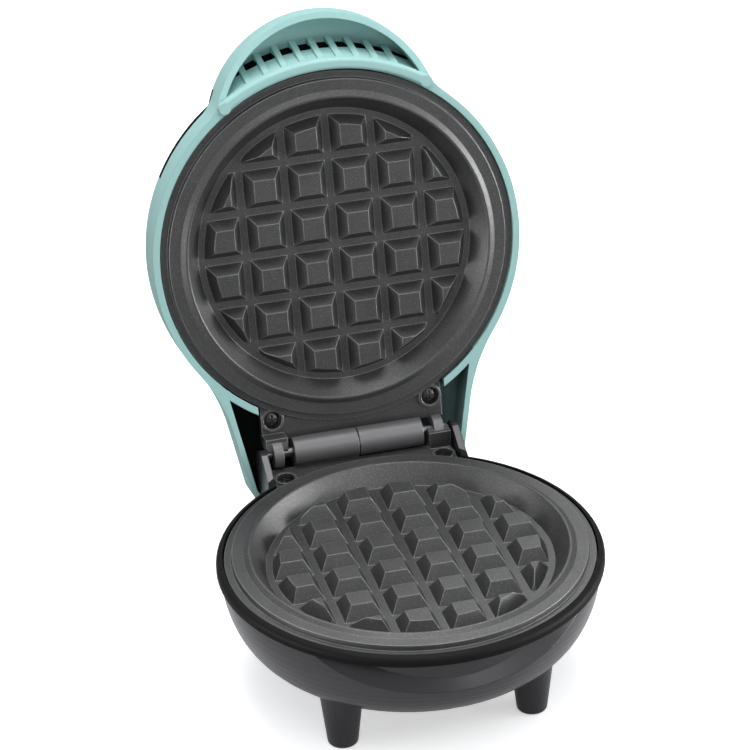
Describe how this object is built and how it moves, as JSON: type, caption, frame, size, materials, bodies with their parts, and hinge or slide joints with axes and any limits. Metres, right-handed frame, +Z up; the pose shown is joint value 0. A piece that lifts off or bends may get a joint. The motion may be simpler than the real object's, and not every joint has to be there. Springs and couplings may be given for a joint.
{
  "type": "personal waffle maker",
  "caption": "Small countertop waffle maker: round bowl base on tapered legs, ribbed-grip domed lid hinged at the back, and a studded non-stick plate in each half.",
  "frame": {"origin": "middle of the bounding box at the underside of the feet, with the lid open", "axes": "+Z up; +Y towards the back, where the hinge is and the lid leans; +X to the right seen from the front"},
  "size_m": [0.1292, 0.1849, 0.1982],
  "materials": {
    "charcoal_plastic": "semi-gloss moulded",
    "mint_plastic": "gloss moulded",
    "coated_aluminium": "speckled non-stick coating on a casting",
    "screw_steel": "plated",
    "heater_steel": "oxidised sheath",
    "shield_steel": "bright sheet",
    "ceramic": "unglazed ceramic",
    "phenolic": "moulded phenolic",
    "rubber": "matt",
    "lens_amber": "clear amber moulding",
    "lamp_glass": "clear"
  },
  "bodies": {
    "base": {"base_housing": "charcoal_plastic", "bottom_cover": "charcoal_plastic", "cover_screws": "screw_steel", "lower_plate": "coated_aluminium", "lower_plate_screws": "screw_steel", "lower_heater": "heater_steel", "lower_heater_beads": "ceramic", "lower_heat_shield": "shield_steel", "thermostat": "phenolic", "thermostat_screws": "screw_steel", "thermal_fuse": "shield_steel", "fuse_clip": "shield_steel", "fuse_clip_screw": "screw_steel", "terminal_block": "phenolic", "terminal_block_screw": "screw_steel", "cord_gland": "rubber", "hinge_pin": "screw_steel"},
    "lid": {"lid_shell": "mint_plastic", "upper_plate": "coated_aluminium", "upper_plate_screws": "screw_steel", "upper_heater": "heater_steel", "upper_heater_beads": "ceramic", "upper_heat_shield": "shield_steel", "indicator_lens": "lens_amber", "indicator_lamp": "lamp_glass"}
  },
  "joints": [
    {"name": "lid_hinge", "type": "hinge", "parent": "base", "child": "lid", "pos_m": [0, 0.04176, 0.0524], "axis": [1, 0, 0], "range_deg": [0, 102]}
  ]
}
